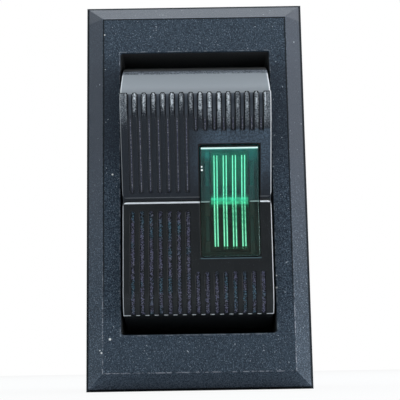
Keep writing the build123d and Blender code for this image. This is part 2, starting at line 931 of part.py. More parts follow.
def tongue_slot(end):
    """The U-shaped slot round a snap tongue and the space it flexes into, outside a thin inner wall."""
    half = tongue_width / 2
    inner = opening_height / 2 + tongue_shield
    reach = sorted((end * inner, end * barrel_height))
    clear = sorted((end * inner, end * (inner + tongue_play)))
    top = tongue_catch - tongue_gap
    slot = block(-half - tongue_gap, half + tongue_gap, top, tongue_catch, *reach)
    slot += block(-half - tongue_gap, half + tongue_gap, top, tongue_root, *clear)
    slot += block(half, half + tongue_gap, top, tongue_root, *reach)
    return slot + block(-half - tongue_gap, -half, top, tongue_root, *reach)


def make_housing():
    barrel = rounded_tube(barrel_width, barrel_height, barrel_corner, 0, barrel_depth)
    housing = bezel_flange() + barrel
    housing -= rounded_tube(opening_width, opening_height, opening_corner, 2 * front_y, 2 * barrel_depth)
    front = housing.faces().sort_by(Axis.Y)[0]
    housing = fillet(front.edges(), bezel_edge_radius)
    gap = window_clearance
    for end in (-1, 1):
        housing += make_shelf(end)
        housing -= tongue_slot(end)
        housing += make_wing(end)
        housing -= block(
            -barrel_width,
            barrel_width,
            barb_start_y() - barb_height - gap,
            barb_start_y() + gap,
            end * barb_z - barb_length / 2 - gap,
            end * barb_z + barb_length / 2 + gap,
        )
    bearing = trunnion_radius + trunnion_clearance
    return housing - along_x(bearing, barrel_width, 0, pivot_depth, 0)


def bezel_flange():
    """The bezel's flange: a thin rim with a bevelled front."""
    outline = Plane.XZ * Rectangle(bezel_width, bezel_height)
    rim = extrude(outline, amount=bezel_rim)
    front = Pos(0, -bezel_rim, 0) * outline
    return rim + extrude(front, amount=bezel_chamfer, taper=45)


def make_parts():
    """Every piece of the switch, by name."""
    parts = {
        "bezel_housing": make_housing(),
        "terminal_base": make_base(),
        "rocker": make_rocker(),
        "indicator_lens": make_lens(),
        "light_mask": make_mask(),
        "light_guide": make_guide(),
        "plunger": make_plunger(),
        "plunger_spring": make_spring(),
        "contact_arm": make_arm(),
        "common_terminal": make_common_terminal(),
        "lamp_bulb": make_bulb(),
        "lamp_holder": make_holder(),
    }
    for name, end in (("upper", 1), ("lower", -1)):
        parts[name + "_moving_contact"] = make_moving_contact(end)
        parts[name + "_fixed_contact"] = make_fixed_contact(end)
        parts[name + "_throw_terminal"] = make_throw_terminal(end)
        parts[name + "_lamp_terminal"] = make_lamp_terminal(end)
    return parts


os.makedirs("parts", exist_ok=True)
for name, shape in make_parts().items():
    export_step(shape, f"parts/{name}.step")
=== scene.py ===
import math

import bpy
from mathutils import Matrix, Vector


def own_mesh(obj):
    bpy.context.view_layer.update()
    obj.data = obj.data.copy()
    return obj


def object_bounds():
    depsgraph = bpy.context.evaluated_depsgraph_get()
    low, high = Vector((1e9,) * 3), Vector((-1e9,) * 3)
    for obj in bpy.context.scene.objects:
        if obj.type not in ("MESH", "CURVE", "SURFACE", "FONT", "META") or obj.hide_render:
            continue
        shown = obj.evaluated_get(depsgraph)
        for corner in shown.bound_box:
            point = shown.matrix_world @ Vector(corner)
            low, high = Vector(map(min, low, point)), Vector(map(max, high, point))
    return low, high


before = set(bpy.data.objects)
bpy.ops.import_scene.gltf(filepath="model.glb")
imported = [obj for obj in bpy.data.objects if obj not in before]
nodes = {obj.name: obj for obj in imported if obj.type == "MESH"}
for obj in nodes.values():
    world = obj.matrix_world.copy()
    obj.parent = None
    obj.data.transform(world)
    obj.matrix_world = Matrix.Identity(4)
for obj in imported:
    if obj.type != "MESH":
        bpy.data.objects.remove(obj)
cad_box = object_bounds()
MM = 0.001

# Sizes shared with the part's source, in millimetres
rim_front = -0.5
face_front = -2.5
bezel_half_height = 22.1
face_half_width = 10.5
face_half_height = 20.1
pivot_depth = 4.6
rest_tilt = math.radians(10.5)
face_angle = math.radians(12.0)
valley_height = 8.5
pad_height = 0.38
side_edge = 8.2
crest_radius = 2.6
crest_up = 10.433
crest_out = 7.674
groove_pitch = 1.015
window_x = 3.62
lens_half = 3.2

# Where the shading changes on those shapes, in millimetres
opening_half_width = 8.53
opening_half_height = 16.03
crest_start = 9.9
upper_pad_end = crest_out + 2.10
lower_pad_end = crest_out + 1.80
upper_pad_turn = math.radians(31.0)
band_bottom = 6.2
skirt_top = 5.0
skirt_start = 12.0
groove_half_width = 0.19
rib_half_width = 0.19
rib_end_length = 0.38
margin_start = 7.6
lens_end = 6.06
pocket_half = 3.4
pocket_end = 6.4
slots_half = 2.06
slots_end = 5.42
line_pitch = groove_pitch
line_offset = 0.160
line_half_width = 0.044

# Strength of the light guide's painted glow
guide_glow = 1.2

# Single specks of dust: two places and a radius, in millimetres
bezel_specks = [
    (-9.41, 1.86, 0.12),
    (-10.31, 18.19, 0.10),
    (-9.71, -16.43, 0.14),
    (-10.66, -17.89, 0.11),
    (-10.85, -17.61, 0.07),
    (8.59, -11.08, 0.11),
    (8.62, -9.75, 0.08),
]
lens_specks = [(-3.05, 3.78, 0.10), (-3.03, 3.42, 0.12)]

# The photograph's frame, in pixels
photo_width = 400
focal_length = 1000


# Camera at the photograph's place
def make_camera():
    """The camera of the photograph, from the turn and shift fitted to the bezel's corners."""
    turn = (
        Matrix.Rotation(math.radians(0.91), 3, "Z")
        @ Matrix.Rotation(math.radians(0.19), 3, "Y")
        @ Matrix.Rotation(math.radians(-9.72), 3, "X")
    )
    shift = Vector((-0.36, 0.83, -113.69))
    to_row = Matrix(((1, 0, 0), (0, 0, -1), (0, 1, 0)))
    centre = to_row @ (-(turn.transposed() @ shift)) + Vector((0, rim_front, 0))
    data = bpy.data.cameras.new("camera")
    data.sensor_width = 36
    data.lens = data.sensor_width * focal_length / photo_width
    data.clip_start = 0.002
    data.clip_end = 20
    camera = bpy.data.objects.new("camera", data)
    camera.matrix_world = Matrix.Translation(centre * MM) @ (to_row @ turn.transposed()).to_4x4()
    bpy.context.scene.collection.objects.link(camera)
    bpy.context.scene.camera = camera


# Node helpers
class Tree:
    """A node tree with short calls for the nodes used here."""

    def __init__(self, node_tree):
        self.nodes = node_tree.nodes
        self.links = node_tree.links
        self.nodes.clear()
        self.places = self.nodes.new("ShaderNodeTexCoord").outputs

    def put(self, socket, value):
        """Gives a socket a link or a plain value."""
        if isinstance(value, bpy.types.NodeSocket):
            self.links.new(value, socket)
        else:
            socket.default_value = value

    def math(self, kind, a, b=0.0):
        node = self.nodes.new("ShaderNodeMath")
        node.operation = kind
        self.put(node.inputs[0], a)
        self.put(node.inputs[1], b)
        return node.outputs[0]

    def plus(self, a, b):
        return self.math("ADD", a, b)

    def minus(self, a, b):
        return self.math("SUBTRACT", a, b)

    def over(self, a, b):
        return self.math("DIVIDE", a, b)

    def times(self, first, *others):
        """Product of several values."""
        for value in others:
            first = self.math("MULTIPLY", first, value)
        return first

    def most(self, first, *others):
        """The greatest of several values."""
        for value in others:
            first = self.math("MAXIMUM", first, value)
        return first

    def size(self, value):
        """A value without its sign."""
        return self.math("ABSOLUTE", value)

    def inverse(self, share):
        """What a share leaves of 1."""
        return self.minus(1.0, share)

    def distance(self, run, drop):
        """Length of a slope from its run and its drop."""
        return self.math("SQRT", self.plus(self.math("POWER", run, 2.0), self.math("POWER", drop, 2.0)))

    def outside(self, aside, beside, half_width, half_height):
        """How far a point lies outside a rectangle, negative inside it."""
        return self.most(self.minus(aside, half_width), self.minus(beside, half_height))

    def span(self, value, low, high, to_low=0.0, to_high=1.0):
        """Goes smoothly from to_low at low to to_high at high, and stays there beyond them."""
        node = self.nodes.new("ShaderNodeMapRange")
        node.interpolation_type = "SMOOTHSTEP"
        self.put(node.inputs["Value"], value)
        node.inputs["From Min"].default_value = low
        node.inputs["From Max"].default_value = high
        node.inputs["To Min"].default_value = to_low
        node.inputs["To Max"].default_value = to_high
        return node.outputs[0]

    def fade(self, value, low, high):
        """1 up to low, 0 from high on."""
        return self.span(value, low, high, 1.0, 0.0)

    def strip(self, value, start, full, fading, end):
        """1 between full and fading, 0 before start and after end."""
        return self.times(self.span(value, start, full), self.fade(value, fading, end))

    def noise(self, size, detail=2.0, roughness=0.5, stretch=(1, 1, 1)):
        """Noise whose features are about size millimetres across."""
        scaled = self.nodes.new("ShaderNodeMapping")
        scaled.inputs["Scale"].default_value = stretch
        self.links.new(self.places["Object"], scaled.inputs["Vector"])
        node = self.nodes.new("ShaderNodeTexNoise")
        node.inputs["Scale"].default_value = 1 / (size * MM)
        node.inputs["Detail"].default_value = detail
        node.inputs["Roughness"].default_value = roughness
        self.links.new(scaled.outputs[0], node.inputs["Vector"])
        return node.outputs[0]

    def patches(self, size, low, high, detail=2.0, roughness=0.5):
        """Noise as patches: 0 where it is under low, 1 where it is over high."""
        return self.span(self.noise(size, detail, roughness), low, high)

    def mix(self, share, first, second):
        """Blends two colours."""
        node = self.nodes.new("ShaderNodeMix")
        node.data_type = "RGBA"
        self.put(node.inputs["Factor"], share)
        self.put(node.inputs["A"], first)
        self.put(node.inputs["B"], second)
        return node.outputs["Result"]

    def blend(self, share, first, second):
        """Blends two numbers."""
        node = self.nodes.new("ShaderNodeMix")
        self.put(node.inputs["Factor"], share)
        self.put(node.inputs["A"], first)
        self.put(node.inputs["B"], second)
        return node.outputs["Result"]

    def part(self, vector, name):
        """One coordinate of a vector."""
        node = self.nodes.new("ShaderNodeSeparateXYZ")
        self.links.new(vector, node.inputs[0])
        return node.outputs[name]

    def axis(self, name):
        """One object coordinate in millimetres."""
        return self.times(self.part(self.places["Object"], name), 1000.0)

    def spots(self, first, second, places):
        """1 within small spots, each given by its two coordinates and its radius in millimetres."""
        result = 0.0
        for a, b, radius in places:
            gap = self.distance(self.minus(first, a), self.minus(second, b))
            result = self.most(result, self.fade(gap, radius * 0.6, radius * 1.2))
        return result

    def edges(self, radius):
        """Rounded normals for edges, radius in millimetres."""
        node = self.nodes.new("ShaderNodeBevel")
        node.samples = 6
        node.inputs["Radius"].default_value = radius * MM
        return node.outputs[0]

    def bump(self, height, depth, normal=None):
        """Bump from a height field, depth in millimetres."""
        node = self.nodes.new("ShaderNodeBump")
        node.inputs["Distance"].default_value = depth * MM
        node.inputs["Strength"].default_value = 1.0
        self.put(node.inputs["Height"], height)
        if normal is not None:
            self.put(node.inputs["Normal"], normal)
        return node.outputs[0]

    def seen_plainly(self):
        """1 for what the camera sees straight on or through clear plastic."""
        path = self.nodes.new("ShaderNodeLightPath").outputs
        return self.most(path["Is Camera Ray"], path["Is Transmission Ray"])

    def join(self, share, first, second):
        """Blends two shaders."""
        node = self.nodes.new("ShaderNodeMixShader")
        self.put(node.inputs[0], share)
        self.links.new(first, node.inputs[1])
        self.links.new(second, node.inputs[2])
        return node.outputs[0]


class Paint(Tree):
    """A material with one shader."""

    def __init__(self, name):
        self.material = bpy.data.materials.new(name)
        self.material.use_nodes = True
        super().__init__(self.material.node_tree)
        self.output = self.nodes.new("ShaderNodeOutputMaterial").inputs["Surface"]
        self.shader = self.nodes.new("ShaderNodeBsdfPrincipled")
        self.links.new(self.shader.outputs[0], self.output)

    def set(self, **values):
        """Sets the shader's sockets by name, with _ for each space."""
        for name, value in values.items():
            self.put(self.shader.inputs[name.replace("_", " ")], value)


def rgb(red, green, blue):
    """A colour from its linear shares."""
    return (red, green, blue, 1.0)


def dress(material, *names):
    """Gives CAD nodes a material."""
    for name in names:
        nodes[name].data.materials.clear()
        nodes[name].data.materials.append(material)


# Bezel
class BezelPlace:
    """Where a point lies on the bezel, in millimetres, with masks of its main areas."""

    def __init__(self, tree):
        self.across = tree.axis("X")
        self.deep = tree.axis("Y")
        self.high = tree.axis("Z")
        aside = tree.size(self.across)
        self.beside = tree.size(self.high)
        self.past_face = tree.outside(aside, self.beside, face_half_width, face_half_height)
        self.past_opening = tree.outside(aside, self.beside, opening_half_width, opening_half_height)
        self.front = tree.fade(self.deep, rim_front - 0.06, rim_front)
        self.bottom = tree.fade(self.high, -face_half_height - 0.2, -face_half_height)
        above_or_below = tree.span(tree.minus(self.beside, face_half_height), -0.1, 0.1)
        self.top = tree.times(above_or_below, tree.span(self.high, 0.0, 1.0))


def bezel_grain(tree, at, fleck):
    """Dark pits, paler flecks and bright specks, calmer and darker beside the rocker's upper half."""
    pits = tree.mix(tree.noise(5.0, 3, 0.6), rgb(0.008, 0.016, 0.027), rgb(0.018, 0.030, 0.049))
    colour = tree.mix(fleck, pits, rgb(0.058, 0.087, 0.120))
    near_ends = tree.span(at.beside, 13.0, 18.0, 0.0, 0.14)
    colour = tree.mix(near_ends, colour, rgb(0.100, 0.135, 0.175))
    speck = tree.times(tree.patches(0.12, 0.58, 0.68, 1), 0.6)
    colour = tree.mix(speck, colour, rgb(0.240, 0.300, 0.370))
    calm = tree.strip(at.high, 1.0, 6.0, 13.0, 16.5)
    calm = tree.times(calm, tree.span(at.across, -8.4, 8.4, 0.72, 0.50))
    return tree.mix(calm, colour, rgb(0.020, 0.028, 0.042))


def bezel_chamfers(tree, at, grain, colour):
    """Chamfers that grow smoother upwards, the top one painted paler as painted light, and a grainy bottom
    one painted pale as painted light from the floor, paler downwards against the shade there.
    """
    sloped = tree.times(tree.span(at.past_face, 0.0, 0.1), at.front, tree.inverse(at.bottom))
    smooth = tree.span(at.high, -16.0, 6.0, 0.0, 0.75)
    # Painted light: the top chamfer, which faces the lamps above, is painted paler
    tint = tree.mix(at.top, rgb(0.062, 0.071, 0.090), rgb(0.116, 0.121, 0.138))
    colour = tree.mix(tree.times(sloped, smooth), colour, tint)
    # Painted light: the bottom chamfer is painted pale for light from the floor, more so downwards against
    # the shade near the floor
    downwards = tree.span(at.high, -bezel_half_height, -face_half_height - 0.2, 0.70, 0.16)
    pale = tree.times(at.bottom, downwards, tree.span(grain, 0.42, 0.58, 0.15, 1.0))
    return tree.mix(pale, colour, rgb(0.200, 0.240, 0.300))


def bezel_dust(tree, at, colour):
    """Scattered pale dots, and the single specks."""
    dots = tree.times(tree.patches(0.20, 0.845, 0.87, 0), 0.8)
    colour = tree.mix(dots, colour, rgb(0.50, 0.54, 0.58))
    specks = tree.times(tree.spots(at.across, at.high, bezel_specks), at.front)
    return tree.mix(specks, colour, rgb(0.98, 0.98, 0.96))


def bezel_face_edge(tree, at, broken, colour):
    """A dark line inside the face's edge, and a broken painted highlight on the edge that grows downwards."""
    inner = tree.times(tree.strip(at.past_face, -0.19, -0.15, -0.04, 0.00), at.front)
    inner = tree.times(inner, tree.span(at.high, -16.0, -8.0), 0.9)
    colour = tree.mix(inner, colour, rgb(0.002, 0.003, 0.004))
    # Painted highlight: a broken pale line along the face's edge, strong low down and faint on the top
    at_edge = tree.times(tree.strip(at.past_face, -0.06, -0.02, 0.05, 0.10), at.front)
    chamfer_edge_highlight = tree.times(broken, tree.span(at.high, -19.5, -4.0, 0.8, 0.05))
    chamfer_edge_highlight = tree.times(at_edge, tree.most(chamfer_edge_highlight, tree.times(at.top, 0.35)))
    return tree.mix(chamfer_edge_highlight, colour, rgb(0.46, 0.47, 0.52))


def bezel_opening(tree, at, broken, colour):
    """A broken pale line round the opening's lip, and its inside painted paler as painted light that lifts
    the shade there, whose mask comes second.
    """
    lip = tree.times(tree.strip(at.past_opening, 0.0, 0.03, 0.09, 0.14), broken, at.front, 0.5)
    colour = tree.mix(lip, colour, rgb(0.40, 0.43, 0.47))
    # Painted light: the opening's inside is painted paler than the plastic, lifting the shade in the gap
    inside = tree.times(tree.fade(at.past_opening, 0.0, 0.05),
                        tree.span(at.deep, face_front + 0.2, face_front + 0.5))
    return tree.mix(inside, colour, rgb(0.070, 0.070, 0.070)), inside


def bezel_plastic():
    """Black-blue moulded plastic with a fine spark-eroded grain, and painted light and shade on its chamfers,
    edges and opening.
    """
    tree = Paint("bezel_plastic")
    at = BezelPlace(tree)
    grain = tree.noise(0.16, 3, 0.8)
    fleck = tree.span(grain, 0.42, 0.64)
    broken = tree.patches(0.45, 0.46, 0.58, 4, 0.75)
    colour = bezel_grain(tree, at, fleck)
    colour = bezel_chamfers(tree, at, grain, colour)
    colour = bezel_dust(tree, at, colour)
    colour = bezel_face_edge(tree, at, broken, colour)
    # Painted shade: a dark line along the chamfers' outer edge, made rough as well
    outline = tree.times(tree.span(at.past_face, 1.70, 1.76), at.front, 0.9)
    colour = tree.mix(outline, colour, rgb(0.003, 0.004, 0.005))
    colour, inside = bezel_opening(tree, at, broken, colour)
    behind = tree.times(tree.span(at.deep, rim_front, rim_front + 0.2), tree.inverse(inside))
    barrel = tree.mix(fleck, rgb(0.011, 0.015, 0.021), rgb(0.024, 0.032, 0.043))
    tree.set(Base_Color=tree.mix(behind, colour, barrel), Specular_IOR_Level=0.25)
    tree.set(Roughness=tree.blend(outline, tree.span(grain, 0.3, 0.7, 0.46, 0.60), 0.95))
    tree.set(Normal=tree.bump(grain, 0.07, tree.edges(0.10)))
    return tree.material


# Rocker
def tilted(tree):
    """Distances up and out along the rocker from its pivot."""
    deep = tree.minus(pivot_depth, tree.axis("Y"))
    high = tree.axis("Z")
    up = tree.plus(tree.times(high, math.cos(rest_tilt)), tree.times(deep, math.sin(rest_tilt)))
    out = tree.minus(tree.times(deep, math.cos(rest_tilt)), tree.times(high, math.sin(rest_tilt)))
    return up, out


class RockerPlace:
    """Where a point lies on the rocker at rest, in millimetres, with masks of its main areas."""

    def __init__(self, tree):
        self.across = tree.axis("X")
        self.aside = tree.size(self.across)
        self.window_aside = tree.size(tree.minus(self.across, window_x))
        self.up, self.out = tilted(tree)
        self.far = tree.size(self.up)
        self.lower = tree.fade(self.up, -0.3, 0.0)
        self.on_crest = tree.math("GREATER_THAN", self.far, crest_start)
        self.height = self.height_over_base(tree)
        self.near_pad = tree.blend(self.on_crest, 1.0, self.before_pad_end(tree))
        # Distance across from the middle of the nearest groove
        cell = tree.math("FRACT", tree.plus(tree.over(self.across, groove_pitch), 0.5))
        self.offset = tree.times(tree.size(tree.minus(cell, 0.5)), groove_pitch)
        self.front = tree.fade(self.aside, side_edge - 0.07, side_edge - 0.02)
        self.on_floor = tree.times(tree.fade(self.height, 0.10, 0.20), self.near_pad, self.front)
        self.on_top = tree.times(tree.span(self.height, 0.20, 0.28), self.near_pad)
        self.to_end = self.distance_to_pad_end(tree)

    def height_over_base(self, tree):
        """Height over the grooves' floor: from the flats, or from the crest's middle on the crest."""
        base = valley_height * math.cos(face_angle) - pad_height
        rise = tree.times(self.far, math.sin(face_angle))
        flat = tree.minus(tree.minus(tree.times(self.out, math.cos(face_angle)), rise), base)
        crest = tree.distance(tree.minus(self.far, crest_up), tree.minus(self.out, crest_out))
        return tree.blend(self.on_crest, flat, tree.minus(crest, crest_radius))

    def before_pad_end(self, tree):
        """1 on the crest's part that the pads cover, which ends lower on the lower half."""
        upper_end = tree.span(self.out, upper_pad_end, upper_pad_end + 0.15)
        lower_end = tree.span(self.out, lower_pad_end, lower_pad_end + 0.15)
        return tree.blend(self.lower, upper_end, lower_end)

    def distance_to_pad_end(self, tree):
        """Distance round the crest to the upper pad's end."""
        slope = tree.over(tree.minus(self.up, crest_up), tree.most(tree.minus(self.out, crest_out), 0.2))
        turn_left = tree.minus(upper_pad_turn, tree.math("ARCTANGENT", slope))
        return tree.times(turn_left, crest_radius + pad_height)


def window_painted_light(tree, up):
    """Painted light behind the lens on the dark plastic: a teal glow above the valley, paler at the top, near
    black below.
    """
    upper = tree.mix(tree.span(up, 2.4, 5.0), rgb(0.006, 0.056, 0.066), rgb(0.012, 0.160, 0.180))
    upper = tree.mix(tree.span(up, 4.0, 5.5), upper, rgb(0.040, 0.580, 0.600))
    colour = tree.mix(tree.span(up, -0.3, 0.2), rgb(0.060, 0.020, 0.014), upper)
    mottle = tree.span(tree.noise(1.6, 3, 0.6), 0.3, 0.7, 0.0, 0.4)
    return tree.mix(mottle, colour, rgb(0.024, 0.036, 0.032))


def rocker_base(tree, at, smear):
    """One plastic, painted near black below and bluish above: the difference between the halves is painted
    light.
    """
    lower = tree.mix(smear, rgb(0.013, 0.014, 0.015), rgb(0.019, 0.021, 0.023))
    upper = tree.mix(smear, rgb(0.006, 0.009, 0.016), rgb(0.011, 0.016, 0.026))
    return tree.mix(tree.span(at.up, 0.0, 0.4, 0.0, 0.85), lower, upper)


def groove_dust_and_painted_light(tree, at, speckle, colour):
    """A thin line of dust in the upper grooves, dust all over the floor of the lower ones, and the floors of
    the upper grooves painted lighter as painted light against their shade.
    """
    thin = tree.times(tree.fade(at.offset, 0.03, 0.08), tree.strip(at.up, 0.7, 0.9, 8.9, 9.5))
    ragged = tree.plus(at.offset, tree.times(tree.noise(0.15, 2), 0.5))
    wide = tree.times(tree.fade(ragged, 0.38, 0.43), at.lower)
    dust = tree.times(tree.most(thin, tree.times(wide, speckle)), at.on_floor, 0.85)
    lint = tree.patches(0.13, 0.48, 0.60, 3, 0.7)
    upper_tint = tree.mix(lint, rgb(0.11, 0.11, 0.20), rgb(0.60, 0.58, 0.66))
    teal = tree.patches(2.2, 0.50, 0.62, 1)
    lower_tint = tree.mix(teal, rgb(0.28, 0.27, 0.43), rgb(0.14, 0.29, 0.40))
    colour = tree.mix(dust, colour, tree.mix(at.lower, upper_tint, lower_tint))
    fluff = tree.times(tree.patches(0.12, 0.60, 0.68, 1), wide, at.on_floor, 0.7)
    colour = tree.mix(fluff, colour, rgb(0.50, 0.50, 0.58))
    # Painted light: the groove floors on the crest are painted pale against the shade between the ribs
    crest_floor = tree.times(tree.fade(at.offset, 0.13, 0.18), at.on_floor, tree.span(at.up, 8.8, 9.4))
    colour = tree.mix(crest_floor, colour, rgb(0.090, 0.105, 0.130))
    # Painted light: the upper grooves' floors are painted lighter against their shade, less so on the right
    plain = tree.times(at.on_floor, tree.strip(at.up, 0.6, 1.0, 9.0, 9.8), tree.inverse(thin))
    plain = tree.times(plain, tree.span(at.across, -1.6, 0.4, 1.0, 0.25))
    colour = tree.mix(plain, colour, rgb(0.045, 0.050, 0.060))
    grit = tree.times(tree.patches(0.09, 0.70, 0.76, 1), 0.5)
    return tree.mix(grit, colour, rgb(0.14, 0.16, 0.19))


def window_surround(tree, at, smear, colour):
    """Painted sheen on the flats round the window, and a painted shadow round the lens's upper half."""
    # Painted sheen: the flats round the window are painted paler, more so upwards and to the right, where the
    # light comes from
    flat_top = tree.times(tree.span(at.height, 0.30, 0.36), at.near_pad, at.front)
    painted_sheen = tree.times(flat_top, tree.span(at.across, -2.0, 2.5), tree.span(at.up, 0.0, 4.5))
    painted_sheen = tree.times(painted_sheen, tree.fade(at.up, 7.6, 8.0), tree.span(smear, 0.2, 0.7, 0.6, 1.0))
    painted_sheen = tree.times(painted_sheen, tree.span(tree.noise(0.16, 3, 0.8), 0.42, 0.58, 0.30, 1.0))
    low_margin = tree.times(tree.span(at.across, 7.0, 7.4), tree.fade(at.up, 2.0, 4.6))
    painted_sheen = tree.times(painted_sheen, tree.span(low_margin, 0.0, 1.0, 1.0, 0.45))
    colour = tree.mix(painted_sheen, colour, rgb(0.086, 0.128, 0.176))
    # Painted shadow of the pocket's upper wall: a black line round the lens's upper half
    past_lens = tree.outside(at.window_aside, at.up, lens_half, lens_end)
    painted_pocket_shadow = tree.times(tree.fade(past_lens, 0.20, 0.26), tree.span(at.up, 0.3, 0.5), at.on_top)
    return tree.mix(painted_pocket_shadow, colour, rgb(0.001, 0.001, 0.001))


def crest_scuffs_and_painted_light(tree, at, colour):
    """Rib tops on the crest painted pale, part scuffed grain and part painted highlight, and painted shade in
    black round their ends and on their walls.
    """
    # Where the scuffed grain and painted highlight start: lower on the right, where the light comes from, and
    # on the left margin
    scuff_and_highlight_start = tree.span(at.across, -1.0, 3.0, 9.0, 7.0)
    left_margin = tree.fade(at.across, 0.15 - margin_start, 0.25 - margin_start)
    scuff_and_highlight_start = tree.blend(left_margin, scuff_and_highlight_start, 7.4)
    past_start = tree.minus(at.up, scuff_and_highlight_start)
    scuff_and_highlight_field = tree.plus(tree.noise(0.15, 3, 0.75), tree.times(past_start, 0.22))

    # Each rib's top has a round end, and the margins beside the ribs are plain
    ribbed = tree.fade(at.aside, margin_start, margin_start + 0.04)
    rib_aside = tree.times(tree.minus(groove_pitch / 2, at.offset), ribbed)
    rib_beyond = tree.most(tree.minus(rib_end_length, at.to_end), 0.0)
    rib_inside = tree.fade(tree.distance(rib_aside, rib_beyond), rib_half_width, rib_half_width + 0.05)
    rib_strength = tree.span(tree.noise(0.9, 1, 0.5, (1, 0.02, 0.02)), 0.35, 0.60, 0.45, 1.0)

    # Scuffed grain with painted highlight on the rib tops, and a painted highlight streak along some ribs'
    # middle
    scuff_and_highlight = tree.times(tree.span(scuff_and_highlight_field, 0.62, 0.90), at.on_top, rib_inside, rib_strength)
    tint = tree.mix(tree.patches(0.12, 0.36, 0.62, 2, 0.7), rgb(0.04, 0.05, 0.062), rgb(0.46, 0.49, 0.52))
    share = tree.times(tree.span(at.up, 7.4, 9.9, 0.30, 0.95), tree.blend(ribbed, 0.6, 1.0))
    colour = tree.mix(tree.times(scuff_and_highlight, share), colour, tint)
    streak = tree.times(scuff_and_highlight, ribbed, tree.fade(rib_aside, 0.04, 0.12), tree.span(at.up, 9.4, 10.2))
    streak = tree.times(streak, tree.patches(0.6, 0.44, 0.58, 2, 0.6))
    colour = tree.mix(streak, colour, rgb(0.80, 0.83, 0.86))

    # Painted shade: black round the rib ends and on their walls
    arch = tree.times(tree.inverse(rib_inside), tree.fade(at.to_end, 0.40, 0.45), at.on_top)
    arch = tree.times(arch, tree.span(at.up, 9.0, 9.5))
    colour = tree.mix(arch, colour, rgb(0.003, 0.003, 0.004))
    wall = tree.strip(at.offset, groove_half_width, groove_half_width + 0.03, 0.27, 0.31)
    wall = tree.times(wall, at.front, at.near_pad, ribbed, tree.span(past_start, 0.0, 0.8))
    return tree.mix(wall, colour, rgb(0.002, 0.002, 0.003)), tree.most(arch, wall)


def end_band(tree, at, past_pad, on_band, speckle, colour):
    """The pale band past the upper pad and its speckled foot: dust and painted light, on the upper half only.
    """
    # Dust and painted light: the band past the upper pad is painted pale, on the upper half only
    colour = tree.mix(tree.times(past_pad, on_band), colour, rgb(0.235, 0.255, 0.275))
    # Dust and painted light: a speckled pale strip at the band's foot
    foot = tree.times(past_pad, tree.span(at.out, 4.9, 5.1), tree.inverse(on_band), speckle)
    return tree.mix(foot, colour, rgb(0.28, 0.31, 0.35))


def painted_edge_highlights(tree, at, past_pad, on_band, colour):
    """Painted highlights on edges: the sides, the band's sides, the lower pad's top and end, and a faint line
    over the valley.
    """
    upper_left = tree.times(tree.span(at.up, 0.0, 0.4), tree.fade(at.across, -1.0, 1.0))
    side = tree.times(tree.span(at.aside, side_edge - 0.10, side_edge - 0.07), at.on_top)
    side = tree.times(side, tree.blend(upper_left, 0.62, 0.22))
    band_side = tree.times(past_pad, on_band, tree.span(at.aside, side_edge - 0.20, side_edge - 0.12), 0.6)
    seam = tree.times(tree.strip(at.up, -0.21, -0.17, 0.01, 0.04), tree.span(at.height, 0.12, 0.20))
    above_seam = tree.times(tree.strip(at.up, 0.38, 0.42, 0.50, 0.56), at.on_top, 0.10)
    slope = tree.over(tree.plus(at.up, crest_up), tree.minus(at.out, crest_out))
    pad_end = tree.times(tree.fade(slope, -0.82, -0.76), at.on_top, tree.fade(at.up, -11.0, -10.5))
    # Painted highlight: all these edges painted near white
    rocker_edge_highlight = tree.most(side, band_side, seam, above_seam, pad_end)
    return tree.mix(rocker_edge_highlight, colour, rgb(0.94, 0.96, 0.98))


def window_well(tree, at, colour):
    """A faint line under the lens, and the ledge behind it in the window's painted light."""
    rim = tree.strip(at.up, -6.30, -6.26, -6.18, -6.15)
    rim = tree.times(rim, tree.fade(at.window_aside, 3.30, 3.34), at.on_top)
    colour = tree.mix(rim, colour, rgb(0.080, 0.130, 0.150))
    # Painted light: the ledge behind the lens takes the window's painted glow
    ledge = tree.times(
        tree.strip(at.height, -0.62, -0.56, -0.34, -0.28),
        tree.fade(at.window_aside, pocket_half, pocket_half + 0.05),
        tree.strip(at.up, -pocket_end - 0.1, -pocket_end, pocket_end, pocket_end + 0.1),
    )
    return tree.mix(ledge, colour, window_painted_light(tree, at.up))


def rocker_plastic():
    """Black-blue plastic with dust in the grooves and scuffs on the crest, and painted light: highlights on
    edges and crest, a sheen round the window, shade round the rib ends and the lens, a pale band and a
    lighter skirt.
    """
    tree = Paint("rocker_plastic")
    at = RockerPlace(tree)
    smear = tree.noise(2.5, 4, 0.65)
    speckle = tree.patches(0.14, 0.44, 0.58, 2, 0.7)
    past_pad = tree.times(tree.span(at.up, crest_start, crest_start + 0.1), tree.fade(at.to_end, -0.02, 0.02))
    past_pad = tree.times(past_pad, at.front)
    on_band = tree.span(at.out, band_bottom - 0.05, band_bottom + 0.05)
    colour = rocker_base(tree, at, smear)
    colour = groove_dust_and_painted_light(tree, at, speckle, colour)
    colour = window_surround(tree, at, smear, colour)
    colour, dull = crest_scuffs_and_painted_light(tree, at, colour)
    colour = end_band(tree, at, past_pad, on_band, speckle, colour)
    colour = painted_edge_highlights(tree, at, past_pad, on_band, colour)
    colour = window_well(tree, at, colour)
    # Painted light: the skirt deep in the gap is painted grey, lifting its shade
    past_skirt = tree.math("GREATER_THAN", at.far, skirt_start)
    skirt = tree.times(tree.fade(at.out, skirt_top - 0.4, skirt_top), past_skirt)
    colour = tree.mix(skirt, colour, rgb(0.060, 0.060, 0.060))
    tree.set(Base_Color=colour, Specular_IOR_Level=0.3)
    rough = tree.blend(tree.times(past_pad, on_band), tree.span(smear, 0.3, 0.7, 0.28, 0.38), 0.5)
    tree.set(Roughness=tree.blend(dull, rough, 0.95))
    tree.set(Normal=tree.bump(tree.noise(0.10, 2), 0.006, tree.edges(0.15)))
    return tree.material


